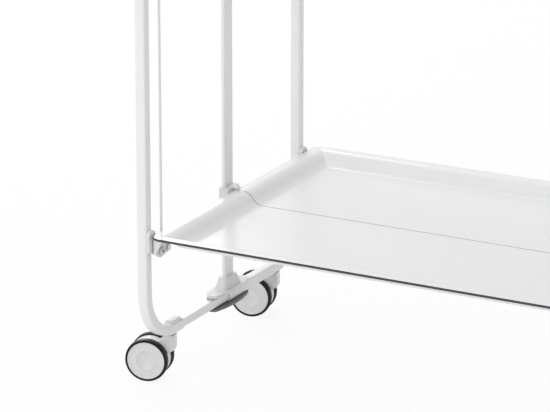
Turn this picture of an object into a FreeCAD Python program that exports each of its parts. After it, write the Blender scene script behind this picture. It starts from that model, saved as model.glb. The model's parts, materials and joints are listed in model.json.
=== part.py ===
import FreeCAD, Part
import math
import os
from FreeCAD import Vector

# Folding two-tray serving trolley, in millimetres.
# X runs along the trays, Y from front to rear and Z up.  The origin is on the floor, midway
# between the ends and on the line where both trays fold.

# ---- Trays ---------------------------------------------------------------------------------
tray_length = 610.0
tray_half_depth = 221.0
tray_thickness = 3.0
tray_corner = 14.0
rim_height = 16.0
rim_lip = 10.0
rim_slope = 28.0
fold_gap = 1.0
lower_rim_z = 210.0
tray_spacing = 420.0

# ---- End frames ----------------------------------------------------------------------------
tube = 14.0
tube_corner = 3.0
slide_rail = 11.0
slide_rail_wall = 1.2
slide_clearance = 0.2
bend_radius = 64.0
low_rail_z = 68.0
top_rail_z = 805.0
end_gap = 6.0
pivot_span = 200.0
post_setback = 10.0
front_leg = 84.0
rear_mouth_y = -7.0
slide_rail_start = 69.0
slide_rail_end_y = 3.0

# ---- Centre posts and saddles ----------------------------------------------------------------
post_thickness = 5.0
post_width = 22.0
post_corner = 1.5
saddle_length = 92.0
saddle_half_width = 13.0
saddle_end_half_width = 8.5
saddle_plate = 4.0
saddle_base = 3.0
saddle_socket = 15.0
saddle_clearance = 0.3

# ---- Pivots, brackets and links ------------------------------------------------------------
hinge_drop = 3.0
bracket_thickness = 4.6
bracket_wrap = 1.8
bracket_top = 28.0
bracket_bottom = 13.0
ear_radius = 9.0
bolt_radius = 3.0
bolt_head_radius = 5.5
bolt_head_height = 3.0
lug_inset = 1.0
lug_thickness = 4.0
lug_flange = 2.0
lug_radius = 8.0
pin_clearance = 0.06
rod_radius = 2.0
rod_offset = 16.0
rod_eye_radius = 5.0
rod_eye_thickness = 3.4
rod_pin_radius = 2.0
rod_head_radius = 4.0
rod_head_height = 2.4
stay_width = 12.0
stay_thickness = 3.0
stay_pin_radius = 2.5

# ---- Sliders on the centre posts -------------------------------------------------------------
slider_wall = 3.2
slider_lip = 1.8
slider_face = 6.5
slider_above = 26.0
slider_below = 9.0
slider_mouth = 14.0
slide_fit = 0.3
finger_radius = 3.0
finger_lift = 0.4

# ---- Fold hinges -----------------------------------------------------------------------------
hinge_length = 66.0
hinge_leaf = 20.0
hinge_sheet = 1.2
knuckle_radius = 2.75
hinge_pin_radius = 1.5
knuckle_gap = 0.3
hinge_places = (-225.0, 0.0, 225.0)

# ---- Castors -----------------------------------------------------------------------------------
wheel_radius = 27.5
tyre_depth = 3.1
tyre_round = 2.2
wheel_width = 10.0
wheel_gap = 0.5
hub_disc_radius = 12.0
hub_dish = 1.6
hub_bowl = 1.1
axle_grip = 0.5
castor_trail = 28.0
castor_body_width = 15.0
castor_body_radius = 26.0
castor_ground_gap = 9.0
castor_boss_radius = 9.0
castor_top_gap = 0.6
castor_round = 2.0
axle_radius = 3.0
stem_radius = 4.0
stem_offset = 63.0
bush_radius = 5.0
bush_top_gap = 0.5
castor_swivel = 13.0

# ---- Places worked out from the sizes above ---------------------------------------------------
floor_z = lower_rim_z - rim_height
pivot_z = floor_z - tray_thickness - hinge_drop
post_x = tray_length / 2 + end_gap + tube / 2
tube_face_x = post_x - tube / 2
front_post_y = -pivot_span - post_setback
rear_post_y = pivot_span - post_setback
front_mouth_y = front_post_y + front_leg
rim_width = rim_lip + rim_slope
ends = (-1, 1)
tray_rises = (0.0, tray_spacing)


def v(x, y, z):
    return Vector(x, y, z)


def box(x0, x1, y0, y1, z0, z1):
    """A block between two corners, given as low and high values."""
    return Part.makeBox(x1 - x0, y1 - y0, z1 - z0, v(x0, y0, z0))


def rod_x(x0, x1, y, z, radius):
    """A round bar along X between two X values."""
    return Part.makeCylinder(radius, abs(x1 - x0), v(min(x0, x1), y, z), v(1, 0, 0))


def line(a, b):
    return Part.LineSegment(a, b).toShape()


def arc(a, middle, b):
    return Part.Arc(a, middle, b).toShape()


def rounded_rectangle(half_a, half_b, corner, place):
    """A closed wire with four round corners; place turns two plane values into a point."""
    edges = []
    turn = corner * (1 - math.sqrt(0.5))
    for sa, sb in ((1, 1), (-1, 1), (-1, -1), (1, -1)):
        on_a = place(sa * half_a, sb * (half_b - corner))
        middle = place(sa * (half_a - turn), sb * (half_b - turn))
        on_b = place(sa * (half_a - corner), sb * half_b)
        edges.append((on_a, middle, on_b) if sa * sb > 0 else (on_b, middle, on_a))
    shapes = []
    for index, (start, middle, end) in enumerate(edges):
        shapes.append(arc(start, middle, end))
        shapes.append(line(end, edges[(index + 1) % len(edges)][0]))
    return Part.Wire(shapes)


def mirrored(shape, side):
    """The left end's piece as it is, or its mirror image for the right end."""
    if side < 0:
        return shape
    return shape.mirror(v(0, 0, 0), v(1, 0, 0))


def both_ends(shape):
    return [mirrored(shape, side) for side in ends]


def raised(shape, rise):
    copy = shape.copy()
    copy.translate(v(0, 0, rise))
    return copy


def group(shapes):
    return Part.makeCompound(shapes)


# ---- Trays ---------------------------------------------------------------------------------
def rim_edges(at, start, inward, drop):
    """The rim's upper line from its outer edge to the tray floor, sunk by drop along its normal."""
    radius = (rim_slope ** 2 + rim_height ** 2) / (4 * rim_height)
    angle = math.asin(rim_slope / 2 / radius)
    crown_z = lower_rim_z - radius
    hollow_z = floor_z + radius

    def crown(turn):
        reach = rim_lip + (radius - drop) * math.sin(turn)
        return at(start + inward * reach, crown_z + (radius - drop) * math.cos(turn))

    def hollow(turn):
        reach = rim_width - (radius + drop) * math.sin(turn)
        return at(start + inward * reach, hollow_z - (radius + drop) * math.cos(turn))

    return [
        line(at(start, lower_rim_z - drop), crown(0)),
        arc(crown(0), crown(angle / 2), crown(angle)),
        arc(crown(angle), hollow(angle / 2), hollow(0)),
    ]


def prism(at, edges, first, last, low_z, sweep):
    """Everything between an open line of edges and the level low_z, swept by a vector."""
    top = Part.Wire(Part.__sortEdges__(edges))
    ends_of_line = [at(first[0], first[1]), at(first[0], low_z), at(last[0], low_z), at(last[0], last[1])]
    sides = [line(a, b) for a, b in zip(ends_of_line, ends_of_line[1:])]
    wire = Part.Wire(Part.__sortEdges__(top.Edges + sides))
    return Part.Face(wire).extrude(sweep)


def under_tray(drop, low_z):
    """The space under the front half's upper face, with that face sunk by drop."""
    half = tray_length / 2
    rim = lower_rim_z - drop
    floor = floor_z - drop
    foot = half - rim_width

    def along(a, z):
        return v(a, -tray_half_depth, z)

    def across(a, z):
        return v(-half, a, z)

    edges = rim_edges(along, -half, 1, drop)
    edges.append(line(along(-foot, floor), along(foot, floor)))
    edges += rim_edges(along, half, -1, drop)
    length_prism = prism(along, edges, (-half, rim), (half, rim), low_z, v(0, tray_half_depth, 0))
    back = -fold_gap / 2
    edges = rim_edges(across, -tray_half_depth, 1, drop)
    edges.append(line(across(-tray_half_depth + rim_width, floor), across(back, floor)))
    depth_prism = prism(across, edges, (-tray_half_depth, rim), (back, floor), low_z, v(tray_length, 0, 0))
    return length_prism.fuse(depth_prism)


def front_tray():
    """The front half of a dished tray, with rims on three sides and an open fold side."""
    half = tray_length / 2
    low = pivot_z - tray_thickness
    shell = under_tray(0, low).cut(under_tray(tray_thickness, low - 1))
    outline = box(-half, half, -tray_half_depth, -fold_gap / 2, low, lower_rim_z + 1)
    corners = []
    for edge in outline.Edges:
        middle = edge.CenterOfMass
        if abs(middle.y + tray_half_depth) < 0.01 and abs(abs(middle.x) - half) < 0.01:
            corners.append(edge)
    return shell.common(outline.makeFillet(tray_corner, corners))


# ---- End frames ----------------------------------------------------------------------------
def square_section(side, corner, y, z):
    half = side / 2
    return rounded_rectangle(half, half, corner, lambda a, b: v(a, y, z + b))


def bent_bar(side, corner, post_y, mouth_y):
    """A bar of square section bent into a C: lower rail, bend, post, bend and upper rail."""
    way = 1 if mouth_y > post_y else -1
    bend_y = post_y + way * bend_radius
    low_bend = low_rail_z + bend_radius
    top_bend = top_rail_z - bend_radius
    low_rail = Part.Face(square_section(side, corner, mouth_y, low_rail_z)).extrude(v(0, bend_y - mouth_y, 0))
    top_rail = Part.Face(square_section(side, corner, mouth_y, top_rail_z)).extrude(v(0, bend_y - mouth_y, 0))
    low_end = Part.Face(square_section(side, corner, bend_y, low_rail_z))
    top_end = Part.Face(square_section(side, corner, bend_y, top_rail_z))
    low_curve = low_end.revolve(v(0, bend_y, low_bend), v(-way, 0, 0), 90)
    top_curve = top_end.revolve(v(0, bend_y, top_bend), v(way, 0, 0), 90)
    half = side / 2
    post_wire = rounded_rectangle(half, half, corner, lambda a, b: v(a, post_y + b, low_bend))
    post = Part.Face(post_wire).extrude(v(0, 0, top_bend - low_bend))
    return low_rail.fuse([low_curve, post, top_curve, top_rail]).removeSplitter()


def bent_tube(post_y, mouth_y, stem_y, wall):
    """A square tube bent into a C, open at both mouths, with a hole below for the castor bush."""
    outer = bent_bar(tube, tube_corner, post_y, mouth_y)
    bore = bent_bar(tube - 2 * wall, tube_corner - wall, post_y, mouth_y)
    hole = Part.makeCylinder(bush_radius, tube, v(0, stem_y, low_rail_z - tube))
    return outer.cut(bore).cut(hole)


def at_left_end(shape):
    copy = shape.copy()
    copy.translate(v(-post_x, 0, 0))
    return copy


def slide_rails():
    """The straight inner rails that join the front frame and run in the rear frame's mouths."""
    length = slide_rail_end_y - (front_post_y + slide_rail_start)
    start = front_post_y + slide_rail_start
    corner = tube_corner - (tube - slide_rail) / 2
    bore = slide_rail - 2 * slide_rail_wall
    rails = []
    for z in (low_rail_z, top_rail_z):
        outer = Part.Face(square_section(slide_rail, corner, start, z)).extrude(v(0, length, 0))
        inner = box(-bore / 2, bore / 2, start, slide_rail_end_y, z - bore / 2, z + bore / 2)
        rails += both_ends(at_left_end(outer.cut(inner)))
    return group(rails)


def castor_bushes(stem_y, wall):
    """Plastic bushes that stand in the lower bend and turn on the castor stems."""
    low = low_rail_z - tube / 2
    high = low_rail_z + tube / 2 - wall - bush_top_gap
    bush = Part.makeCylinder(bush_radius, high - low, v(0, stem_y, low))
    bore = Part.makeCylinder(stem_radius + pin_clearance, high - low - 1.5, v(0, stem_y, low))
    return group(both_ends(at_left_end(bush.cut(bore))))


# ---- Centre posts and saddles ----------------------------------------------------------------
def centre_post():
    """A flat upright bar between the lower and the upper saddle."""
    low = low_rail_z + tube / 2 + saddle_clearance + saddle_plate
    high = top_rail_z - tube / 2 - saddle_clearance - saddle_plate
    section = rounded_rectangle(post_thickness / 2, post_width / 2, post_corner, lambda a, b: v(a, b, low))
    bar = Part.Face(section).extrude(v(0, 0, high - low))
    pivot = rod_x(-post_thickness, post_thickness, 0, pivot_z, stay_pin_radius + pin_clearance)
    return at_left_end(bar.cut(pivot))


def lens(low, high):
    """A flat plate with two bowed sides and round ends, seen from above."""
    half = saddle_length / 2
    side = half - saddle_end_half_width
    wide = saddle_half_width
    narrow = saddle_end_half_width
    wire = Part.Wire([
        arc(v(narrow, -side, low), v(wide, 0, low), v(narrow, side, low)),
        arc(v(narrow, side, low), v(0, half, low), v(-narrow, side, low)),
        arc(v(-narrow, side, low), v(-wide, 0, low), v(-narrow, -side, low)),
        arc(v(-narrow, -side, low), v(0, -half, low), v(narrow, -side, low)),
    ])
    return Part.Face(wire).extrude(v(0, 0, high - low))


def saddle():
    """The lower saddle: a lens-shaped plate over the rails, an outer wall and a post socket."""
    top = low_rail_z + tube / 2 + saddle_clearance
    bottom = low_rail_z - tube / 2 - saddle_clearance
    side = tube / 2 + saddle_clearance
    body = lens(bottom, top + saddle_plate)
    window = box(-side, 2 * tube, -saddle_length, saddle_length, bottom, top)
    body = body.cut(window)
    base = top + saddle_plate
    half_x = post_thickness / 2
    half_y = post_width / 2
    foot = rounded_rectangle(half_x + 6, half_y + 12, 5, lambda a, b: v(a, b, base))
    neck = rounded_rectangle(half_x + 3.5, half_y + 4, 4, lambda a, b: v(a, b, base + saddle_socket))
    socket = Part.makeLoft([foot, neck], True, True)
    pocket_wire = rounded_rectangle(half_x, half_y, post_corner, lambda a, b: v(a, b, base))
    pocket = Part.Face(pocket_wire).extrude(v(0, 0, saddle_socket + 1))
    return at_left_end(body.fuse(socket).cut(pocket).removeSplitter())


def saddle_foot():
    """The dark plate that closes the saddle under the rails."""
    top = low_rail_z - tube / 2 - saddle_clearance
    plate = lens(top - saddle_base, top)
    return at_left_end(plate)


def turned_to_top(shape):
    """The lower saddle's piece turned over for the upper rail."""
    middle = (low_rail_z + top_rail_z) / 2
    return shape.mirror(v(0, 0, middle), v(0, 0, 1))


# ---- Brackets, lugs and links ------------------------------------------------------------------
def post_bracket(post_y):
    """The moulded bracket that hugs a post and holds the outer pivot in a round ear."""
    pivot_y = post_y + post_setback
    face = -tube_face_x
    inner = face + bracket_thickness
    half = tube / 2 + bracket_wrap
    low = pivot_z - bracket_bottom
    high = pivot_z + bracket_top
    plate = box(face, inner, post_y - half, post_y + half, low, high)
    tops = [edge for edge in plate.Edges if edge.CenterOfMass.z > high - 0.01]
    tops = [edge for edge in tops if abs(edge.CenterOfMass.y - post_y) > 1]
    plate = plate.makeFillet(half * 0.7, tops)
    front = box(face - tube / 2, face, post_y - half, post_y - tube / 2, low, high - half)
    rear = box(face - tube / 2, face, post_y + tube / 2, post_y + half, low, high - half)
    ear = rod_x(face, inner, pivot_y, pivot_z, ear_radius)
    bore = rod_x(face, inner, pivot_y, pivot_z, bolt_radius)
    return plate.fuse([front, rear, ear]).cut(bore).removeSplitter()


def pivot_bolt(pivot_y):
    """A shoulder bolt with a domed head on the tray side."""
    start = -tube_face_x
    head = lug_face() + pin_clearance
    shank = rod_x(start, head, pivot_y, pivot_z, bolt_radius)
    rim = rod_x(head, head + bolt_head_height / 2, pivot_y, pivot_z, bolt_head_radius)
    cone = Part.makeCone(
        bolt_head_radius, bolt_head_radius * 0.6, bolt_head_height / 2,
        v(head + bolt_head_height / 2, pivot_y, pivot_z), v(1, 0, 0))
    return shank.fuse([rim, cone]).removeSplitter()


def lug_face():
    """The inner face of the lugs, where bolt heads bear."""
    return -tray_length / 2 + lug_inset + lug_thickness


def lug_plate(outline, holes):
    """A lug from points in Y and Z, with a flange under the rim and bores for its pins."""
    outer = -tray_length / 2 + lug_inset
    points = [v(outer, y, z) for y, z in outline]
    plate = Part.Face(Part.makePolygon(points + points[:1])).extrude(v(lug_thickness, 0, 0))
    low_y = min(y for y, z in outline)
    high_y = max(y for y, z in outline)
    under = lower_rim_z - tray_thickness
    flange = box(outer, outer + rim_lip - lug_inset, low_y, high_y, under - lug_flange, under)
    plate = plate.fuse(flange)
    for y, radius in holes:
        end = rod_x(outer, outer + lug_thickness, y, pivot_z, lug_radius if radius > 2.2 else rod_eye_radius)
        plate = plate.fuse(end)
    for y, radius in holes:
        plate = plate.cut(rod_x(outer - 1, outer + lug_thickness + 1, y, pivot_z, radius + pin_clearance))
    return plate.removeSplitter()


def corner_lug():
    """The moulded lug under a front corner, with the bolt hole and the hole for the link rod."""
    under = lower_rim_z - tray_thickness
    rod_y = -pivot_span + rod_offset
    edge_y = -tray_half_depth + tray_corner
    outline = [
        (edge_y - 4, under),
        (rod_y + 12, under),
        (rod_y + rod_eye_radius, pivot_z),
        (rod_y, pivot_z - rod_eye_radius),
        (-pivot_span, pivot_z - lug_radius),
        (-pivot_span - lug_radius, pivot_z),
    ]
    return lug_plate(outline, ((-pivot_span, bolt_radius), (rod_y, rod_pin_radius)))


def plain_lug():
    """The corner lug of a rear half, which carries no link rod, drawn for the front."""
    under = lower_rim_z - tray_thickness
    edge_y = -tray_half_depth + tray_corner
    outline = [
        (edge_y - 4, under),
        (-pivot_span + 26, under),
        (-pivot_span + lug_radius, pivot_z),
        (-pivot_span, pivot_z - lug_radius),
        (-pivot_span - lug_radius, pivot_z),
    ]
    return lug_plate(outline, ((-pivot_span, bolt_radius),))


def stay_lug():
    """The small lug half way along the lower front tray's end, for the stay link."""
    under = lower_rim_z - tray_thickness
    y = -pivot_span / 2
    outline = [
        (y - 14, under),
        (y + 14, under),
        (y + lug_radius, pivot_z),
        (y, pivot_z - lug_radius),
        (y - lug_radius, pivot_z),
    ]
    return lug_plate(outline, ((y, stay_pin_radius),))


def to_rear(shape):
    """The same piece on the rear half, which mirrors the front half about the fold line."""
    return shape.mirror(v(0, 0, 0), v(0, 1, 0))


def link_rod():
    """A thin upright rod that ties the two front halves together, with a flat eye at each end."""
    y = -pivot_span + rod_offset
    outer = -tube_face_x + pin_clearance * 5
    inner = outer + rod_eye_thickness
    middle = (outer + inner) / 2
    shape = Part.makeCylinder(rod_radius * 0.8, tray_spacing, v(middle, y, pivot_z))
    for rise in tray_rises:
        shape = shape.fuse(rod_x(outer, inner, y, pivot_z + rise, rod_eye_radius))
    for rise in tray_rises:
        shape = shape.cut(rod_x(outer, inner, y, pivot_z + rise, rod_pin_radius))
    return shape.removeSplitter()


def rod_pin():
    y = -pivot_span + rod_offset
    start = -tube_face_x + pin_clearance * 5
    head = lug_face() + pin_clearance
    shank = rod_x(start, head, y, pivot_z, rod_pin_radius)
    knob = rod_x(head, head + rod_head_height, y, pivot_z, rod_head_radius)
    return shank.fuse(knob).removeSplitter()


def stay_link():
    """A flat link outside the posts that keeps the centre post half way between the end posts."""
    start = -post_x - post_thickness / 2 - slider_lip - 2 * slide_fit
    ends_y = (-pivot_span / 2, 0)
    bar = box(start - stay_thickness, start, ends_y[0], ends_y[1],
              pivot_z - stay_width / 2, pivot_z + stay_width / 2)
    for y in ends_y:
        bar = bar.fuse(rod_x(start - stay_thickness, start, y, pivot_z, stay_width / 2))
    for y in ends_y:
        bar = bar.cut(rod_x(start - stay_thickness, start, y, pivot_z, stay_pin_radius))
    return bar.removeSplitter()


def stay_pins():
    """The stay link's two pins, one into the tray's lug and one into the centre post."""
    start = -post_x - post_thickness / 2 - slider_lip - 2 * slide_fit - stay_thickness
    tray_pin = rod_x(start, lug_face(), -pivot_span / 2, pivot_z, stay_pin_radius)
    head = rod_x(lug_face() + pin_clearance, lug_face() + bolt_head_height, -pivot_span / 2, pivot_z,
                 stay_pin_radius + 2)
    neck = rod_x(lug_face(), lug_face() + pin_clearance, -pivot_span / 2, pivot_z, stay_pin_radius)
    post_pin = rod_x(start, -post_x + post_thickness / 2, 0, pivot_z, stay_pin_radius)
    return [tray_pin.fuse([neck, head]).removeSplitter(), post_pin]


# ---- Sliders -----------------------------------------------------------------------------------
def slider():
    """A guide that runs on the flat centre post and carries the end of the fold line."""
    half_x = post_thickness / 2 + slide_fit
    half_y = post_width / 2 + slide_fit
    low = pivot_z - slider_below
    high = pivot_z + slider_above
    outer = box(-half_x - slider_lip, half_x + slider_face, -half_y - slider_wall, half_y + slider_wall,
                low, high)
    upright = [edge for edge in outer.Edges if abs(edge.CenterOfMass.z - (low + high) / 2) < 0.01]
    outer = outer.makeFillet(slider_lip * 0.9, upright)
    channel = box(-half_x, half_x, -half_y, half_y, low, high)
    mouth = box(-half_x - 2 * slider_lip, 0, -slider_mouth / 2, slider_mouth / 2, low, high)
    face = half_x + slider_face
    finger_z = lower_rim_z + finger_lift + finger_radius
    finger = rod_x(half_x + 1, face + slider_face, 0, finger_z, finger_radius)
    tip = Part.makeSphere(finger_radius, v(face + slider_face, 0, finger_z))
    bore = rod_x(half_x + 1.5, face + 1, 0, pivot_z, hinge_pin_radius + pin_clearance)
    shape = outer.fuse([finger, tip]).cut(channel).cut(mouth).cut(bore)
    return at_left_end(shape.removeSplitter())


# ---- Fold hinges -----------------------------------------------------------------------------
def hinge_segments(front):
    """X ranges of the knuckles of one leaf: the two outer ones in front, the middle one behind."""
    third = hinge_length / 4
    spans = []
    for place in hinge_places:
        if front:
            spans.append((place - hinge_length / 2, place - third - knuckle_gap / 2))
            spans.append((place + third + knuckle_gap / 2, place + hinge_length / 2))
        else:
            spans.append((place - third + knuckle_gap / 2, place + third - knuckle_gap / 2))
    return spans


def hinge_leaves(front):
    """Three hinge leaves under the fold, drawn for the front half and turned for the rear."""
    under = floor_z - tray_thickness
    leaves = []
    spans = hinge_segments(front)
    per_leaf = len(spans) // len(hinge_places)
    for index, place in enumerate(hinge_places):
        plate = box(place - hinge_length / 2, place + hinge_length / 2,
                    -hinge_leaf, -knuckle_radius - knuckle_gap, under - hinge_sheet, under)
        for start, end in spans[index * per_leaf:(index + 1) * per_leaf]:
            arm = box(start, end, -hinge_leaf / 2, 0, under - hinge_sheet, pivot_z + knuckle_radius)
            plate = plate.fuse([arm, rod_x(start, end, 0, pivot_z, knuckle_radius)])
        bore = rod_x(place - hinge_length, place + hinge_length, 0, pivot_z, hinge_pin_radius + pin_clearance)
        leaves.append(plate.cut(bore).removeSplitter())
    shape = group(leaves)
    return shape if front else to_rear(shape)


def hinge_pin():
    reach = post_x - post_thickness / 2 - slide_fit - 1.5 - 0.5
    return rod_x(-reach, reach, 0, pivot_z, hinge_pin_radius)


# ---- Castors -----------------------------------------------------------------------------------
def castor_body():
    """The moulded body between the two wheels: a round hood with a boss over the swivel axis."""
    centre_x = -castor_trail
    radius = castor_body_radius
    low = castor_ground_gap
    drop = wheel_radius - low
    chord = math.sqrt(radius ** 2 - drop ** 2)
    lean = math.radians(22)
    left = v(centre_x - chord, 0, low)
    right = v(centre_x + chord, 0, low)
    crest = v(centre_x + radius * math.sin(lean), 0, wheel_radius + radius * math.cos(lean))
    top = low_rail_z - tube / 2 - castor_top_gap
    boss = castor_boss_radius
    shoulder = v(-boss, 0, top - 3)
    nose = v(boss - 0.2, 0, top)
    brow = v(boss - 0.2, 0, wheel_radius + 13)
    wire = Part.Wire([
        arc(left, v(centre_x - radius * math.cos(math.radians(20)), 0,
                    wheel_radius + radius * math.sin(math.radians(20))), crest),
        line(crest, shoulder),
        line(shoulder, v(-boss, 0, top)),
        line(v(-boss, 0, top), nose),
        line(nose, brow),
        arc(brow, v(boss * 0.55, 0, wheel_radius - 4), right),
        line(right, left),
    ])
    half = castor_body_width / 2
    plate = Part.Face(wire).extrude(v(0, castor_body_width, 0))
    plate.translate(v(0, -half, 0))
    hood_edges = []
    for edge in plate.Edges:
        if edge.Curve.TypeId == "Part::GeomCircle" and abs(edge.Curve.Radius - radius) < 0.01:
            hood_edges.append(edge)
    plate = plate.makeChamfer(castor_round, hood_edges)
    behind = box(centre_x - 2 * radius, 0, -half, half, 0, top)
    shape = plate.common(behind.fuse(Part.makeCylinder(boss, top)))
    column_low = wheel_radius + 15
    shape = shape.fuse(Part.makeCylinder(boss, top - column_low, v(0, 0, column_low)))
    axle = Part.makeCylinder(axle_radius, castor_body_width, v(centre_x, -half, wheel_radius), v(0, 1, 0))
    stem = Part.makeCylinder(stem_radius, top, v(0, 0, wheel_radius + 12))
    return shape.cut(axle).cut(stem).removeSplitter()


def castor_pins():
    """The wheel axle and the swivel stem, both held in the castor body."""
    reach = castor_body_width / 2 + wheel_gap + wheel_width * axle_grip
    axle = Part.makeCylinder(axle_radius, 2 * reach, v(-castor_trail, -reach, wheel_radius), v(0, 1, 0))
    low = wheel_radius + 12
    stem = Part.makeCylinder(stem_radius, low_rail_z + 3 - low, v(0, 0, low))
    return [axle, stem]


def wheel_profile(points):
    """A solid of revolution about the axle from radius and depth points, outer side at low Y."""
    start = castor_body_width / 2 + wheel_gap
    corners = [v(-castor_trail + radius, start + depth, wheel_radius) for radius, depth in points]
    face = Part.Face(Part.makePolygon(corners + corners[:1]))
    return face.revolve(v(-castor_trail, 0, wheel_radius), v(0, 1, 0), 360)


def tyre():
    """A solid tyre whose shoulders are rounded off in two steps."""
    inner = wheel_radius - tyre_depth
    shoulder = wheel_radius - tyre_round * 0.18
    side = wheel_radius - tyre_round * 0.62
    far = wheel_width
    return wheel_profile((
        (inner, 0), (side, 0), (shoulder, tyre_round * 0.45), (wheel_radius, tyre_round * 1.2),
        (wheel_radius, far - tyre_round * 1.2), (shoulder, far - tyre_round * 0.45), (side, far), (inner, far)))


def hub():
    """A closed white disc, dished towards a shallow bowl in its middle, with a blind axle bore."""
    rim = wheel_radius - tyre_depth
    bore = axle_radius + pin_clearance
    face = wheel_width - 0.3
    bowl = face - hub_dish
    depth = wheel_width * axle_grip + 0.5
    return wheel_profile((
        (bore, 0), (rim, 0), (rim, face), (rim - 1.2, face), (hub_disc_radius, bowl),
        (hub_disc_radius - 1, bowl - hub_bowl * 0.5), (0, bowl - hub_bowl), (0, depth), (bore, depth)))


def other_side(shape):
    return shape.mirror(v(0, 0, 0), v(0, 1, 0))


def placed_castor(shape, stem_y, side):
    """Turn a castor piece about its stem and set the stem under its bend."""
    copy = shape.copy()
    turn = castor_swivel if side < 0 else 180 - castor_swivel
    copy.rotate(v(0, 0, 0), v(0, 0, 1), turn)
    copy.translate(v(side * post_x, stem_y, 0))
    return copy


# ---- All pieces, one node each ---------------------------------------------------------------
front_stem_y = front_post_y + stem_offset
rear_stem_y = rear_post_y - stem_offset
front_wall = (tube - slide_rail) / 2
rear_wall = front_wall - slide_clearance

front_tube = at_left_end(bent_tube(front_post_y, front_mouth_y, front_stem_y, front_wall))
rear_tube = at_left_end(bent_tube(rear_post_y, rear_mouth_y, rear_stem_y, rear_wall))
nodes = {
    "front_tube_left": front_tube,
    "front_tube_right": mirrored(front_tube, 1),
    "front_slide_rails": slide_rails(),
    "front_castor_bushes": castor_bushes(front_stem_y, front_wall),
    "rear_tube_left": rear_tube,
    "rear_tube_right": mirrored(rear_tube, 1),
    "rear_castor_bushes": castor_bushes(rear_stem_y, rear_wall),
}

post = centre_post()
nodes["centre_post_left"] = post
nodes["centre_post_right"] = mirrored(post, 1)
nodes["lower_saddles"] = group(both_ends(saddle()))
nodes["upper_saddles"] = group([turned_to_top(piece) for piece in both_ends(saddle())])
feet = both_ends(saddle_foot())
nodes["saddle_base_plates"] = group(feet + [turned_to_top(piece) for piece in feet])

for name, post_y in (("front", front_post_y), ("rear", rear_post_y)):
    brackets = []
    bolts = []
    for rise in tray_rises:
        brackets += [raised(piece, rise) for piece in both_ends(post_bracket(post_y))]
        bolts += [raised(piece, rise) for piece in both_ends(pivot_bolt(post_y + post_setback))]
    nodes[name + "_post_brackets"] = group(brackets)
    nodes[name + "_pivot_bolts"] = group(bolts)

tray = front_tray()
for name, rise in (("lower", 0.0), ("upper", tray_spacing)):
    nodes[name + "_front_tray"] = raised(tray, rise)
    nodes[name + "_rear_tray"] = raised(to_rear(tray), rise)
    front_lugs = both_ends(corner_lug())
    if rise == 0:
        front_lugs += both_ends(stay_lug())
    nodes[name + "_front_lugs"] = raised(group(front_lugs), rise)
    nodes[name + "_rear_lugs"] = raised(group([to_rear(piece) for piece in both_ends(plain_lug())]), rise)
    nodes[name + "_hinge_front_leaves"] = raised(hinge_leaves(True), rise)
    nodes[name + "_hinge_rear_leaves"] = raised(hinge_leaves(False), rise)
    nodes[name + "_hinge_pin"] = raised(hinge_pin(), rise)
    nodes[name + "_sliders"] = raised(group(both_ends(slider())), rise)

nodes["link_rods"] = group(both_ends(link_rod()))
nodes["link_rod_pins"] = group([raised(piece, rise) for rise in tray_rises for piece in both_ends(rod_pin())])
nodes["stay_links"] = group(both_ends(stay_link()))
nodes["stay_link_pins"] = group([mirrored(piece, side) for side in ends for piece in stay_pins()])

body = castor_body()
pins = castor_pins()
inner_tyre = other_side(tyre())
inner_hub = other_side(hub())
for row, stem_y in (("front", front_stem_y), ("rear", rear_stem_y)):
    for end, side in (("left", -1), ("right", 1)):
        label = row + "_" + end
        nodes[label + "_castor_body"] = placed_castor(body, stem_y, side)
        nodes[label + "_castor_pins"] = group([placed_castor(pin, stem_y, side) for pin in pins])
        for wheel, tyre_shape, hub_shape in (("a", inner_tyre, inner_hub), ("b", tyre(), hub())):
            nodes[label + "_tyre_" + wheel] = placed_castor(tyre_shape, stem_y, side)
            nodes[label + "_hub_" + wheel] = placed_castor(hub_shape, stem_y, side)

os.makedirs("parts", exist_ok=True)
for name, shape in nodes.items():
    shape.exportStep("parts/" + name + ".step")
    solids = len(shape.Solids)
    print(name, "solids", solids, "volume", round(shape.Volume), "valid", shape.isValid())
print("nodes", len(nodes))
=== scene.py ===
# %% [markdown]
# A folding serving trolley: two dished white trays that break along a middle line, hung between
# two square-tube end frames that slide into each other, on four twin-wheel castors.
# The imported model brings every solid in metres.  This lesson gives those solids their finishes,
# adds small pieces that the solids leave out, draws the hubs, the post brackets and the castor
# bodies again in a finer form, and sets the camera, floor and light.
# The model is loaded first, because every later cell hangs on its pieces.

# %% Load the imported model
import bmesh
import bpy
import json
import math
from mathutils import Matrix, Vector


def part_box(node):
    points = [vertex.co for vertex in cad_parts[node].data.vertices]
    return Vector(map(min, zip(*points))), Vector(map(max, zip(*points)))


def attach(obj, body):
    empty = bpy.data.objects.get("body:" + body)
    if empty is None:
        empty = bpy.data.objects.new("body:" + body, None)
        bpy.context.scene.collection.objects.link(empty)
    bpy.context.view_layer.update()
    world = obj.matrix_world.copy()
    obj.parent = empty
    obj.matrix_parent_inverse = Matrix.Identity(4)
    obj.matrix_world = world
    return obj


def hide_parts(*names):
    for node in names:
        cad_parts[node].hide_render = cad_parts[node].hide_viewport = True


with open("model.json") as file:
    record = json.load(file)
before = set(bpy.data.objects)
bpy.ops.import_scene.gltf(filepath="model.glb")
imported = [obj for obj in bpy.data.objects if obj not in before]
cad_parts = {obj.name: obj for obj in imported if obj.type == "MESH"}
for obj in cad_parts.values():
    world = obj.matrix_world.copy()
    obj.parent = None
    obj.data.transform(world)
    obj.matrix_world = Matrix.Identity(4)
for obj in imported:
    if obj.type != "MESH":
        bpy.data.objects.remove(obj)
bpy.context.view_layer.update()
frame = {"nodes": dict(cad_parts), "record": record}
nodes = frame["nodes"]

# %% [markdown]
# Sizes that several cells share.  The tray's reach and rise are read from the nodes' own boxes, so
# the pieces added here stay on the solids that carry them.  The corner radius, the end frames'
# place, the tray pivots and the turn of the castors are the model's own, in metres and radians.

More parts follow.
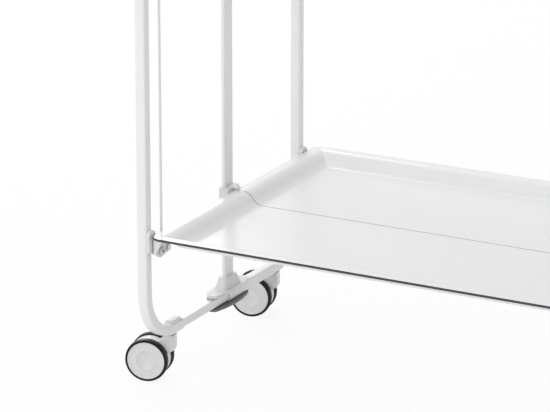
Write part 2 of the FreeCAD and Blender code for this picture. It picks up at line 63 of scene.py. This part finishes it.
# %% Shared sizes
tray_low, tray_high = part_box("lower_front_tray")
upper_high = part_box("upper_front_tray")[1]
HALF_LENGTH = tray_high.x
HALF_DEPTH = -tray_low.y
TRAY_RISE = upper_high.z - tray_high.z
CORNER = 0.014
END_X = 0.318
PIVOT_Z = 0.188
PIVOT_Y = 0.200
CASTOR_TURN = math.radians(13)
shared = (HALF_LENGTH, HALF_DEPTH, TRAY_RISE)
print("half length, half depth, rise", [round(size, 4) for size in shared])

# %% [markdown]
# The photograph looks down on the left front corner from about four and a half metres away
# through a long lens, so upright tubes stay nearly upright.  The camera is set from an angle round
# the trolley, an angle above it and a scale in pixels for each metre, which gives the distance.  It
# is aimed at a point of the left end, and shifted in pixels until that point falls where it does
# in the picture, which is 550 by 412.

# %% Camera
AZIMUTH = math.radians(28.137)
ELEVATION = math.radians(17.781)
FOCAL_PIXELS = 3500.0
PICTURE_WIDTH, SENSOR_WIDTH = 550, 36
SCALE = 787.0
AIM = Vector((-END_X, -0.01, 0.2))
AIM_RIGHT, AIM_UP = -51.465, -8.136
level_share = math.cos(ELEVATION)
forward = Vector(
    (-math.sin(AZIMUTH) * level_share, math.cos(AZIMUTH) * level_share, -math.sin(ELEVATION)))
right = Vector((math.cos(AZIMUTH), math.sin(AZIMUTH), 0))
up = right.cross(forward)
place = AIM - forward * (FOCAL_PIXELS / SCALE) - right * (AIM_RIGHT / SCALE) + up * (AIM_UP / SCALE)
camera_data = bpy.data.cameras.new("camera")
camera_data.sensor_width = SENSOR_WIDTH
camera_data.lens = FOCAL_PIXELS / PICTURE_WIDTH * SENSOR_WIDTH
camera_data.clip_end = 60
camera = bpy.data.objects.new("camera", camera_data)
bpy.context.scene.collection.objects.link(camera)
camera.matrix_world = (
    Matrix.Translation(place) @ Matrix((right, up, -forward)).transposed().to_4x4())
bpy.context.scene.camera = camera
print("camera", [round(c, 3) for c in place], "lens", round(camera_data.lens, 1))

# %% [markdown]
# Node trees are easier to read when each node is made and linked in one line.  This helper makes
# a node, sets plain values on its sockets and links other nodes' sockets into it.

# %% Node helper
def add_node(tree, kind, inputs=None, **settings):
    node = tree.nodes.new(kind)
    for key, value in settings.items():
        setattr(node, key, value)
    for key, value in (inputs or {}).items():
        if isinstance(value, bpy.types.NodeSocket):
            tree.links.new(value, node.inputs[key])
        else:
            node.inputs[key].default_value = value
    return node


def start_group(name, inputs, outputs):
    tree = bpy.data.node_groups.new(name, "ShaderNodeTree")
    for label, kind, value in inputs:
        socket = tree.interface.new_socket(name=label, in_out="INPUT", socket_type=kind)
        if value is not None:
            socket.default_value = value
    for label, kind in outputs:
        tree.interface.new_socket(name=label, in_out="OUTPUT", socket_type=kind)
    return tree, tree.nodes.new("NodeGroupInput"), tree.nodes.new("NodeGroupOutput")


print("node helpers ready")

# %% [markdown]
# Powder coat and moulded plastic both have an even colour that is never perfectly even: soft
# patches, a fine skin and a little dust that settles on faces that look up.  One group makes all
# three.  Patches and skin read Object coordinates, so they stay on the piece when it moves, and
# the dust reads which way a face points.

# %% Surface group: patches, skin and dust
tree, group_in, group_out = start_group(
    "surface_variation",
    [("Color", "NodeSocketColor", (0.9, 0.9, 0.9, 1)), ("Roughness", "NodeSocketFloat", 0.4),
     ("Skin Scale", "NodeSocketFloat", 900.0), ("Patch", "NodeSocketFloat", 0.03),
     ("Dust", "NodeSocketFloat", 0.05)],
    [("Color", "NodeSocketColor"), ("Roughness", "NodeSocketFloat"), ("Height", "NodeSocketFloat")])
coords = add_node(tree, "ShaderNodeTexCoord")
patches = add_node(
    tree, "ShaderNodeTexNoise", {"Vector": coords.outputs["Object"], "Scale": 9.0, "Detail": 3.0})
skin = add_node(
    tree, "ShaderNodeTexNoise",
    {"Vector": coords.outputs["Object"], "Scale": group_in.outputs["Skin Scale"], "Detail": 2.0})
centred = add_node(
    tree, "ShaderNodeMath", {0: patches.outputs["Fac"], 1: 0.5}, operation="SUBTRACT")
amount = add_node(
    tree, "ShaderNodeMath", {0: centred.outputs[0], 1: group_in.outputs["Patch"]},
    operation="MULTIPLY")
shade = add_node(tree, "ShaderNodeMath", {0: amount.outputs[0], 1: 1.0}, operation="ADD")
tinted = add_node(tree, "ShaderNodeVectorMath", {0: group_in.outputs["Color"]}, operation="SCALE")
tree.links.new(shade.outputs[0], tinted.inputs["Scale"])
geometry = add_node(tree, "ShaderNodeNewGeometry")
facing = add_node(tree, "ShaderNodeSeparateXYZ", {0: geometry.outputs["Normal"]})
upward = add_node(
    tree, "ShaderNodeMath", {0: facing.outputs["Z"], 1: group_in.outputs["Dust"]},
    operation="MULTIPLY", use_clamp=True)
dusting = add_node(
    tree, "ShaderNodeMath", {0: upward.outputs[0], 1: skin.outputs["Fac"]}, operation="MULTIPLY",
    use_clamp=True)
dusty = add_node(
    tree, "ShaderNodeMix",
    {"Factor": dusting.outputs[0], 6: tinted.outputs[0], 7: (0.62, 0.61, 0.59, 1)},
    data_type="RGBA")
rough_change = add_node(
    tree, "ShaderNodeMath", {0: amount.outputs[0], 1: 4.0}, operation="MULTIPLY")
rough = add_node(
    tree, "ShaderNodeMath", {0: group_in.outputs["Roughness"], 1: rough_change.outputs[0]},
    operation="ADD", use_clamp=True)
rough_dusty = add_node(
    tree, "ShaderNodeMath", {0: rough.outputs[0], 1: dusting.outputs[0]},
    operation="ADD", use_clamp=True)
tree.links.new(dusty.outputs[2], group_out.inputs["Color"])
tree.links.new(rough_dusty.outputs[0], group_out.inputs["Roughness"])
tree.links.new(skin.outputs["Fac"], group_out.inputs["Height"])
surface_variation = tree
print("group", tree.name, "with", len(tree.nodes), "nodes")

# %% [markdown]
# Each finish is a Principled shader fed by the surface group.  A helper keeps the parts that all
# the plain finishes share: the group, a bump from its skin, and the shader's own values.

# %% Plain finishes
def finish(name, color, roughness, skin_scale=900.0, patch=0.03, dust=0.04, bump=0.08,
           depth=0.00008, **shader_values):
    material = bpy.data.materials.new(name)
    material.use_nodes = True
    tree = material.node_tree
    shader = tree.nodes["Principled BSDF"]
    group = add_node(tree, "ShaderNodeGroup", node_tree=surface_variation)
    group.inputs["Color"].default_value = (*color, 1)
    group.inputs["Roughness"].default_value = roughness
    group.inputs["Skin Scale"].default_value = skin_scale
    group.inputs["Patch"].default_value = patch
    group.inputs["Dust"].default_value = dust
    bumped = add_node(
        tree, "ShaderNodeBump",
        {"Height": group.outputs["Height"], "Strength": bump, "Distance": depth})
    tree.links.new(group.outputs["Color"], shader.inputs["Base Color"])
    tree.links.new(group.outputs["Roughness"], shader.inputs["Roughness"])
    tree.links.new(bumped.outputs["Normal"], shader.inputs["Normal"])
    for key, value in shader_values.items():
        shader.inputs[key.replace("_", " ")].default_value = value
    return material


white_paint = finish(
    "white_powder_coat", (0.84, 0.845, 0.84), 0.34, 1400.0, 0.03, 0.03, 0.25, 0.0001, Coat_Weight=0.25,
    Coat_Roughness=0.18)
white_moulding = finish("white_moulding", (0.74, 0.74, 0.735), 0.42, 2200.0, 0.04, 0.05, 0.12)
castor_shell = finish("castor_white_shell", (0.72, 0.72, 0.705), 0.30, 2600.0, 0.03, 0.05, 0.06)
# The dark plate finish is a darker plate whose very dark colour is also painted shade, standing in for
# the shade that falls under the bottom saddles; the bolt socket plugs use it as painted shade too.
dark_plate = finish("dark_plate_painted_shade", (0.16, 0.165, 0.17), 0.45, 1500.0, 0.10, 0.10, 0.2)
grey_nylon = finish("grey_nylon", (0.32, 0.32, 0.33), 0.5, 1800.0, 0.06, 0.04, 0.1)
print(
    "plain finishes",
    [m.name for m in (white_paint, white_moulding, castor_shell, dark_plate, grey_nylon)])

# %% [markdown]
# The trays are pressed laminate: a hard smooth white face over a dark core.  The core only shows
# where the sheet is cut, so the dark line along the front edge is not paint.  The outline is a
# rectangle with round corners, and the distance from that outline, worked out from Object
# coordinates, turns the last thin skin of the sheet dark.  The fold side is a cut edge too.

# %% Tray laminate
tray_laminate = finish(
    "tray_laminate", (0.87, 0.87, 0.87), 0.26, 700.0, 0.005, 0.01, 0.04, 0.00005, Coat_Weight=0.12,
    Coat_Roughness=0.10)
tree = tray_laminate.node_tree
shader = tree.nodes["Principled BSDF"]
coords = add_node(tree, "ShaderNodeTexCoord")
size = add_node(tree, "ShaderNodeVectorMath", {0: coords.outputs["Object"]}, operation="ABSOLUTE")
inner = add_node(
    tree, "ShaderNodeVectorMath",
    {0: size.outputs[0], 1: (HALF_LENGTH - CORNER, HALF_DEPTH - CORNER, 9.0)}, operation="SUBTRACT")
past = add_node(
    tree, "ShaderNodeVectorMath", {0: inner.outputs[0], 1: (0, 0, 0)}, operation="MAXIMUM")
reach = add_node(tree, "ShaderNodeVectorMath", {0: past.outputs[0]}, operation="LENGTH")
cut_rim = add_node(
    tree, "ShaderNodeMath", {0: reach.outputs["Value"], 1: CORNER - 0.00012},
    operation="GREATER_THAN")
axes = add_node(tree, "ShaderNodeSeparateXYZ", {0: size.outputs[0]})
cut_fold = add_node(
    tree, "ShaderNodeMath", {0: axes.outputs["Y"], 1: 0.00052}, operation="LESS_THAN")
cut = add_node(
    tree, "ShaderNodeMath", {0: cut_rim.outputs[0], 1: cut_fold.outputs[0]}, operation="MAXIMUM")
layers = add_node(
    tree, "ShaderNodeTexNoise", {"Vector": coords.outputs["Object"], "Scale": 260.0, "Detail": 4.0})
core = add_node(
    tree, "ShaderNodeMix",
    {"Factor": layers.outputs["Fac"], 6: (0.020, 0.022, 0.030, 1), 7: (0.055, 0.055, 0.065, 1)},
    data_type="RGBA")
face_color = shader.inputs["Base Color"].links[0].from_socket
face_rough = shader.inputs["Roughness"].links[0].from_socket
shown = add_node(
    tree, "ShaderNodeMix", {"Factor": cut.outputs[0], 6: face_color, 7: core.outputs[2]},
    data_type="RGBA")
shown_rough = add_node(
    tree, "ShaderNodeMix", {"Factor": cut.outputs[0], "A": face_rough, "B": 0.55})
tree.links.new(shown.outputs[2], shader.inputs["Base Color"])
tree.links.new(shown_rough.outputs[0], shader.inputs["Roughness"])
print("laminate with", len(tree.nodes), "nodes")

# %% [markdown]
# Castor tyres are soft black rubber with a faint bloom.  Bolts, pins and hinges are bare bright
# steel.  Turned steel keeps the fine even skin of the surface group.  Rolled hinge sheet has
# straight grain, so its bump is a noise stretched along the fold line.

# %% Rubber and steel
tyre_rubber = finish(
    "tyre_rubber", (0.006, 0.006, 0.006), 0.62, 1200.0, 0.25, 0.012, 0.35, 0.0001,
    Specular_IOR_Level=0.22)
turned_steel = finish(
    "turned_steel", (0.56, 0.56, 0.57), 0.28, 3000.0, 0.08, 0.03, 0.10, Metallic=1.0)
rolled_steel = finish(
    "rolled_steel", (0.60, 0.60, 0.61), 0.36, 1100.0, 0.12, 0.05, 0.10, Metallic=1.0)
tree = rolled_steel.node_tree
stretched = add_node(tree, "ShaderNodeTexCoord")
mapping = add_node(
    tree, "ShaderNodeMapping",
    {"Vector": stretched.outputs["Object"], "Scale": (30.0, 2600.0, 2600.0)})
grain = add_node(
    tree, "ShaderNodeTexNoise", {"Vector": mapping.outputs[0], "Scale": 1.0, "Detail": 3.0})
grain_bump = add_node(
    tree, "ShaderNodeBump", {"Height": grain.outputs["Fac"], "Strength": 0.25, "Distance": 0.00006})
tree.links.new(grain_bump.outputs["Normal"], tree.nodes["Principled BSDF"].inputs["Normal"])
print("rubber and steel ready")

# %% [markdown]
# Every carried-over node takes the finish of its record slot.  The record names a slot for each
# node, so one table of slots dresses them all, and a node with no finish would stop the script.

# %% Dress the carried-over nodes
slot_finish = {
    "white_paint": white_paint, "white_moulding": white_moulding, "tray_laminate": tray_laminate,
    "black_tyre": tyre_rubber, "castor_shell": castor_shell, "steel_fastener": turned_steel,
    "hinge_steel": rolled_steel, "dark_plate": dark_plate, "bush_plastic": grey_nylon}
slots = {entry["node"]: entry["material_slot"] for entry in frame["record"]["subparts"]}
for name, piece in nodes.items():
    piece.data.materials.clear()
    piece.data.materials.append(slot_finish[slots[name]])
print("dressed", len(nodes), "nodes in", len(set(slots.values())), "finishes")

# %% [markdown]
# Small pieces come next.  They are modelled with bmesh, in place, and each rides on the body that
# carries it.  A helper turns a finished bmesh into an object at the origin, with smooth faces
# where a piece is round, and recalculates the normals so that every face points outwards.

# %% Piece helper
def finish_piece(work, name, body, slot_name, smooth=False):
    bmesh.ops.remove_doubles(work, verts=work.verts, dist=0.000001)
    bmesh.ops.recalc_face_normals(work, faces=work.faces)
    for face in work.faces:
        face.smooth = smooth
    mesh = bpy.data.meshes.new(name)
    work.to_mesh(mesh)
    work.free()
    mesh.materials.append(slot_finish[slot_name])
    piece = bpy.data.objects.new(name, mesh)
    bpy.context.scene.collection.objects.link(piece)
    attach(piece, body)
    return piece


def bevel_all(work, edges, offset, segments=3):
    bmesh.ops.bevel(work, geom=edges, offset=offset, offset_type="OFFSET", segments=segments,
                    profile=0.5, affect="EDGES", material=-1)


print("piece helper ready")

# %% [markdown]
# Where the slim straight rail leaves the wide bent tube, the photograph shows a low moulded guide
# on the end of the tube.  It is a wedge-ended block: a cube, drawn out along the tube, with its
# free face shortened and all its edges rounded.  It could be part of the tube, but a moulding of
# its own keeps the tube a plain bent bar.  The upper run has the same guide, turned over.

# %% Rail guides
GUIDE_WIDTH, GUIDE_LENGTH, GUIDE_HEIGHT = 0.0120, 0.0295, 0.0042
GUIDE_BASE = 0.0138


def rail_guide(work, side, base_z, height, y0, y1):
    block = bmesh.ops.create_cube(work, size=1.0)["verts"]
    bmesh.ops.scale(work, verts=block, vec=(GUIDE_WIDTH, y1 - y0, abs(height)))
    tips = [vert for vert in block if vert.co.z * height > 0]
    bmesh.ops.scale(work, verts=tips, vec=(0.82, 0.68, 1.0))
    bmesh.ops.translate(work, verts=block, vec=(side * END_X, (y0 + y1) / 2, base_z + height / 2))
    return block


front_tube_low, front_tube_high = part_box("front_tube_left")
guide_end = front_tube_high.y - 0.0005
for end, side in (("left", -1), ("right", 1)):
    work = bmesh.new()
    rail_guide(
        work, side, front_tube_low.z + GUIDE_BASE, GUIDE_HEIGHT,
        guide_end - GUIDE_LENGTH, guide_end)
    rail_guide(
        work, side, front_tube_high.z - GUIDE_BASE, -GUIDE_HEIGHT,
        guide_end - GUIDE_LENGTH, guide_end)
    bevel_all(work, work.edges[:], 0.0011)
    guide = finish_piece(work, f"rail_guides_{end}", "front_frame", "white_moulding", smooth=True)
    print(guide.name, "faces", len(guide.data.polygons), "end at", round(guide_end, 4))

# %% [markdown]
# A wheel's tyre is moulded with a fine raised bead on each side, just outside the hub.  It could
# be cut into the tyre, but a ring of its own is easier: a small circle of points, spun round an
# upright axis and then turned onto the axle.  The axle's middle is the middle of the tyre's box,
# and the tyre's radius is half the height of that box.

# %% Tyre beads
BEAD_RADIUS = 0.00035
BEAD_INSET = 0.0022
BEAD_SIDE = 0.00502


def axle_of(tyre):
    low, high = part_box(tyre)
    centre = (low + high) / 2
    return centre, high.z - centre.z


upended = Matrix.Rotation(math.radians(90), 4, "X")
for row in ("front", "rear"):
    for end, side in (("left", -1), ("right", 1)):
        for wheel in ("a", "b"):
            tyre = f"{row}_{end}_tyre_{wheel}"
            centre, radius = axle_of(tyre)
            work = bmesh.new()
            for offset in (-BEAD_SIDE, BEAD_SIDE):
                ring = bmesh.ops.create_circle(
                    work, cap_ends=False, radius=BEAD_RADIUS, segments=8)["verts"]
                stand = Matrix.Translation((radius - BEAD_INSET, 0, offset)) @ upended
                bmesh.ops.transform(work, matrix=stand, verts=ring)
                edges = list({edge for vert in ring for edge in vert.link_edges})
                bmesh.ops.spin(work, geom=ring + edges, cent=(0, 0, 0), axis=(0, 0, 1), dvec=(0, 0, 0),
                               angle=math.tau, steps=48, use_merge=True,
                               use_normal_flip=False, use_duplicate=False)
            turn = Matrix.Rotation(CASTOR_TURN * -side, 4, "Z") @ upended
            bmesh.ops.transform(work, matrix=Matrix.Translation(centre) @ turn, verts=work.verts)
            bead = finish_piece(
                work, f"{tyre}_beads", f"{row}_{end}_wheel_{wheel}", "black_tyre", smooth=True)
print("tyre beads made, last", bead.name, "faces", len(bead.data.polygons))

# %% [markdown]
# The fold hinges are screwed to the underside of each half.  A screw head is a short cone whose
# top face is inset twice, with the inner face pushed in as the recess for the driver.  It is
# made once as a mesh, and copied to nine places under each half, in three groups of three.

# %% Hinge screws
def screw_head(radius, height):
    screw = bmesh.new()
    bmesh.ops.create_cone(
        screw, cap_ends=True, cap_tris=False, segments=12, radius1=radius, radius2=radius * 0.66,
        depth=height)
    top = max(screw.faces, key=lambda face: face.calc_center_median().z)
    bmesh.ops.inset_region(screw, faces=[top], thickness=radius * 0.28, depth=0)
    bmesh.ops.inset_region(screw, faces=[top], thickness=radius * 0.03, depth=-height * 0.6)
    mesh = bpy.data.meshes.new("screw_head")
    screw.to_mesh(mesh)
    screw.free()
    return mesh


def add_copy(work, mesh, where):
    before = set(work.verts)
    work.from_mesh(mesh)
    bmesh.ops.transform(
        work, matrix=where, verts=[vert for vert in work.verts if vert not in before])


LEAF_SHEET = 0.0012
SCREW_SINK = 0.0004
SCREW_SIDE, SCREW_MIDDLE = 0.0135, 0.0165
screw_mesh = screw_head(0.0024, 0.0010)
turned_down = Matrix.Rotation(math.pi, 4, "X")
for level in ("lower", "upper"):
    for half, way in (("front", -1), ("rear", 1)):
        leaf_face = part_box(f"{level}_hinge_{half}_leaves")[1].z - LEAF_SHEET
        work = bmesh.new()
        for place_x in (-0.225, 0.0, 0.225):
            for step in (-0.024, 0.0, 0.024):
                back = SCREW_SIDE if step else SCREW_MIDDLE
                place = Vector((place_x + step, way * back, leaf_face - SCREW_SINK))
                add_copy(work, screw_mesh, Matrix.Translation(place) @ turned_down)
        screws = finish_piece(
            work, f"{level}_{half}_hinge_screws", f"{level}_{half}_tray", "steel_fastener")
        print(screws.name, "faces", len(screws.data.polygons), "at", round(leaf_face, 4))

# %% [markdown]
# Each pivot bolt has a hexagon socket.  At this size it only shows as a dark six-sided spot, the shade
# inside the hollow, so it is not cut in: a dark plug with six sides, 0.6 mm high, stands on the middle
# of the head as painted shade.

# %% Bolt sockets as painted shade
SOCKET_X = 0.2966
for row, y in (("front", -PIVOT_Y), ("rear", PIVOT_Y)):
    head_low, head_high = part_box(f"{row}_pivot_bolts")
    work = bmesh.new()
    for side in (-1, 1):
        for rise in (0.0, TRAY_RISE):
            before = set(work.verts)
            bmesh.ops.create_cone(
                work, cap_ends=True, cap_tris=False, segments=6, radius1=0.0022, radius2=0.0018,
                depth=0.0006)
            fresh = [vert for vert in work.verts if vert not in before]
            place = Matrix.Translation((side * SOCKET_X, y, PIVOT_Z + rise))
            where = place @ Matrix.Rotation(math.radians(-90 * side), 4, "Y")
            bmesh.ops.transform(work, matrix=where, verts=fresh)
    # The plugs take the dark finish as painted shade for the socket hollows.
    socket_shade = finish_piece(work, f"{row}_bolt_socket_shade", f"{row}_frame", "dark_plate")
    print(socket_shade.name, "faces", len(socket_shade.data.polygons), "at", SOCKET_X,
          "bolts from", round(head_low.x, 4), "to", round(head_high.x, 4))

# %% [markdown]
# A castor's hub is a moulded white disc that dips into a round bowl.  The bowl's lip and curved
# floor draw the ring that the photograph shows, so it needs a finer section than the solid has.
# A section of radius and depth is drawn once and spun round the axle, which a lathe would do too.
# The bowl stops short of the blind bore, where the axle ends.

# %% Hub discs
HUB_SECTION = (
    (0.00306, 0.0000), (0.0243, 0.0000), (0.0243, 0.0093), (0.0239, 0.0097), (0.0231, 0.0097),
    (0.0226, 0.0093), (0.0138, 0.0089), (0.0131, 0.0091), (0.0126, 0.0090), (0.0122, 0.0085),
    (0.0100, 0.0075), (0.0080, 0.0068), (0.0060, 0.00625), (0.0040, 0.0059), (0.0020, 0.00568),
    (0.0000, 0.0056), (0.0000, 0.0050), (0.00306, 0.0050))
HALF_WHEEL = 0.005


def spun_section(work, section, steps):
    ring = [work.verts.new((radius, 0, depth)) for radius, depth in section]
    edges = [work.edges.new(pair) for pair in zip(ring, ring[1:] + ring[:1])]
    bmesh.ops.spin(work, geom=ring + edges, cent=(0, 0, 0), axis=(0, 0, 1), dvec=(0, 0, 0),
                   angle=math.tau, steps=steps, use_merge=True,
                   use_normal_flip=False, use_duplicate=False)


for row in ("front", "rear"):
    for end in ("left", "right"):
        for wheel, other in (("a", "b"), ("b", "a")):
            centre, radius = axle_of(f"{row}_{end}_tyre_{wheel}")
            outward = (centre - axle_of(f"{row}_{end}_tyre_{other}")[0]).normalized()
            work = bmesh.new()
            spun_section(work, HUB_SECTION, 64)
            turn = outward.to_track_quat("Z", "Y").to_matrix().to_4x4()
            bmesh.ops.transform(
                work, matrix=Matrix.Translation(centre - outward * HALF_WHEEL) @ turn, verts=work.verts)
            disc = finish_piece(
                work, f"{row}_{end}_hub_disc_{wheel}", f"{row}_{end}_wheel_{wheel}", "castor_shell",
                smooth=True)
            disc.data.set_sharp_from_angle(angle=math.radians(38))
            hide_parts(f"{row}_{end}_hub_{wheel}")
print("hub discs made, last", disc.name, "faces", len(disc.data.polygons))

# %% [markdown]
# A short moulded bracket holds the tray's pivot on each post's inner face: a round-topped plate
# whose lower corner runs out into a small ear round the bolt.  The outline is one face, drawn
# once, thickened, and eased along its edges.  A flat outline suits it better than a box with
# pieces added, because the ear and the plate then share one smooth edge.

# %% Post brackets
FACE_X = END_X - 0.007
BRACKET_THICKNESS = 0.0046
EAR_BACK, EAR_RADIUS = 0.010, 0.0062
plate_outline = [(-0.0080, 0.1885), (-0.0080, 0.2095), (-0.0065, 0.2135), (-0.0025, 0.2160),
                 (0.0025, 0.2160), (0.0065, 0.2135), (0.0080, 0.2095)]
ear_outline = [(EAR_BACK + EAR_RADIUS * math.cos(math.radians(turn)),
                PIVOT_Z + EAR_RADIUS * math.sin(math.radians(turn))) for turn in range(40, -141, -20)]


def thick_face(work, outline, depth):
    """Make a face from points and extrude it by the vector called depth."""
    face = work.faces.new([work.verts.new(point) for point in outline])
    made = bmesh.ops.extrude_face_region(work, geom=[face])["geom"]
    bmesh.ops.translate(
        work, verts=[part for part in made if isinstance(part, bmesh.types.BMVert)], vec=depth)


for row, post_y in (("front", -PIVOT_Y - EAR_BACK), ("rear", PIVOT_Y - EAR_BACK)):
    work = bmesh.new()
    for side in (-1, 1):
        for rise in (0.0, TRAY_RISE):
            points = [
                (side * FACE_X, post_y + y, z + rise) for y, z in plate_outline + ear_outline]
            thick_face(work, points, (-side * BRACKET_THICKNESS, 0, 0))
    bevel_all(work, work.edges[:], 0.0007, 2)
    brackets = finish_piece(
        work, f"{row}_bracket_plates", f"{row}_frame", "white_moulding", smooth=True)
    brackets.data.set_sharp_from_angle(angle=math.radians(50))
    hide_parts(f"{row}_post_brackets")
    print(brackets.name, "faces", len(brackets.data.polygons))

# %% [markdown]
# Each front corner of a tray has a small triangular web under its rim, which stiffens the lug
# and covers part of the bolt from the front.  It is the same outline-and-thickness work, turned
# to face forwards.

# %% Corner webs
WEB_FRONT, WEB_THICKNESS = -0.2115, 0.0026
web_corners = [(0.3044, 0.2069), (0.2905, 0.2069), (0.3022, 0.1850), (0.3044, 0.1850)]
for level, rise in (("lower", 0.0), ("upper", TRAY_RISE)):
    work = bmesh.new()
    for side in (-1, 1):
        points = [(side * x, WEB_FRONT, z + rise) for x, z in web_corners]
        thick_face(work, points, (0, WEB_THICKNESS, 0))
    bevel_all(work, work.edges[:], 0.0004, 2)
    webs = finish_piece(work, f"{level}_corner_webs", f"{level}_front_tray", "white_moulding")
    print(webs.name, "faces", len(webs.data.polygons))

# %% [markdown]
# The castor's body is a moulded hood between its two wheels, with a slim column over the stem.
# Seen from the side it is one closed outline: an arc round the axle, the column, and a second
# arc down behind it.  Drawn as one face and thickened, it keeps the flowing line of the moulding,
# and the round of its rim is a bevel on the two side outlines alone.

# %% Castor hoods
AXLE_X, AXLE_Z, HOOD_RADIUS, HOOD_HALF = -0.028, 0.0275, 0.026, 0.0074
STEM_Y = {"front": -0.147, "rear": 0.127}


def hood_arc(start, stop, step):
    angles = [math.radians(turn) for turn in range(start, stop, step)]
    return [
        (AXLE_X + HOOD_RADIUS * math.cos(turn), AXLE_Z + HOOD_RADIUS * math.sin(turn))
        for turn in angles]


hood_outline = hood_arc(225, 60, -9) + [
    (-0.0090, 0.0560), (-0.0080, 0.0580), (-0.0080, 0.0604), (0.0058, 0.0604), (0.0058, 0.0430),
    (0.0046, 0.0402), (0.0018, 0.0383), (-0.0014, 0.0368)] + hood_arc(14, -46, -10)
for row in ("front", "rear"):
    for end, side in (("left", -1), ("right", 1)):
        work = bmesh.new()
        thick_face(work, [(x, -HOOD_HALF, z) for x, z in hood_outline], (0, 2 * HOOD_HALF, 0))
        rims = [
            edge for edge in work.edges
            if abs(edge.verts[0].co.y - edge.verts[1].co.y) < 0.000001]
        bevel_all(work, rims, 0.0012, 3)
        turn = CASTOR_TURN if side < 0 else math.pi - CASTOR_TURN
        where = Matrix.Translation((side * END_X, STEM_Y[row], 0)) @ Matrix.Rotation(turn, 4, "Z")
        bmesh.ops.transform(work, matrix=where, verts=work.verts)
        hood = finish_piece(
            work, f"{row}_{end}_castor_hood", f"{row}_{end}_castor", "castor_shell", smooth=True)
        hood.data.set_sharp_from_angle(angle=math.radians(35))
        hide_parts(f"{row}_{end}_castor_body")
print("castor hoods made, last", hood.name, "faces", len(hood.data.polygons))

# %% [markdown]
# The photograph is a studio cut-out on white.  Its soft main light comes from the front left,
# because the faces that look forward are the palest.  The floor and the world are nearly or quite
# white to the camera and to mirror-like rays only, so the trolley is lit at a plain level, and the
# floor keeps a faint shadow.

# %% Floor, world and lamps
floor_mesh = bpy.data.meshes.new("studio_floor")
work = bmesh.new()
bmesh.ops.create_grid(work, x_segments=1, y_segments=1, size=9.0)
work.to_mesh(floor_mesh)
work.free()
floor = bpy.data.objects.new("studio_floor", floor_mesh)
bpy.context.scene.collection.objects.link(floor)
floor_white = bpy.data.materials.new("floor_white")
floor_white.use_nodes = True
tree = floor_white.node_tree
diffuse = tree.nodes["Principled BSDF"]
diffuse.inputs["Base Color"].default_value = (0.95, 0.95, 0.95, 1)
diffuse.inputs["Roughness"].default_value = 0.9
paths = add_node(tree, "ShaderNodeLightPath")
glow = add_node(tree, "ShaderNodeEmission", {"Color": (1, 1, 1, 1), "Strength": 1.0})
seen = add_node(
    tree, "ShaderNodeMath", {0: paths.outputs["Is Camera Ray"], 1: paths.outputs["Is Glossy Ray"]},
    operation="MAXIMUM")
share = add_node(tree, "ShaderNodeMath", {0: seen.outputs[0], 1: 0.90}, operation="MULTIPLY")
blend = add_node(
    tree, "ShaderNodeMixShader", {0: share.outputs[0], 1: diffuse.outputs[0], 2: glow.outputs[0]})
tree.links.new(blend.outputs[0], tree.nodes["Material Output"].inputs["Surface"])
floor_mesh.materials.append(floor_white)

world = bpy.data.worlds.new("studio")
bpy.context.scene.world = world
world.use_nodes = True
tree = world.node_tree
paths = add_node(tree, "ShaderNodeLightPath")
background = tree.nodes["Background"]
background.inputs["Color"].default_value = (0.97, 0.98, 1.0, 1)
background.inputs["Strength"].default_value = 0.55
white = add_node(tree, "ShaderNodeBackground", {"Color": (1, 1, 1, 1), "Strength": 1.0})
seen = add_node(
    tree, "ShaderNodeMath", {0: paths.outputs["Is Camera Ray"], 1: paths.outputs["Is Glossy Ray"]},
    operation="MAXIMUM")
seen = add_node(
    tree, "ShaderNodeMath", {0: seen.outputs[0], 1: paths.outputs["Is Transmission Ray"]},
    operation="MAXIMUM")
choice = add_node(
    tree, "ShaderNodeMixShader", {0: seen.outputs[0], 1: background.outputs[0], 2: white.outputs[0]})
tree.links.new(choice.outputs[0], tree.nodes["World Output"].inputs["Surface"])


def soft_lamp(name, where, aim, size, power):
    lamp_data = bpy.data.lights.new(name, "AREA")
    lamp_data.size = size
    lamp_data.energy = power
    lamp = bpy.data.objects.new(name, lamp_data)
    bpy.context.scene.collection.objects.link(lamp)
    facing = (Vector(aim) - Vector(where)).to_track_quat("-Z", "Y").to_matrix().to_4x4()
    lamp.matrix_world = Matrix.Translation(where) @ facing
    return lamp


soft_lamp("key", (-1.0, -3.3, 2.1), (0, 0, 0.4), 2.2, 48)
soft_lamp("fill", (3.2, -0.6, 1.6), (0, 0, 0.4), 2.4, 7)
soft_lamp("across", (-2.6, 2.2, 1.9), (0, 0, 0.2), 2.0, 46)
soft_lamp("top", (0.0, 0.4, 3.4), (0, 0, 0.4), 2.2, 12)
bpy.context.scene.view_settings.view_transform = "Standard"
print("stage and lamps ready")
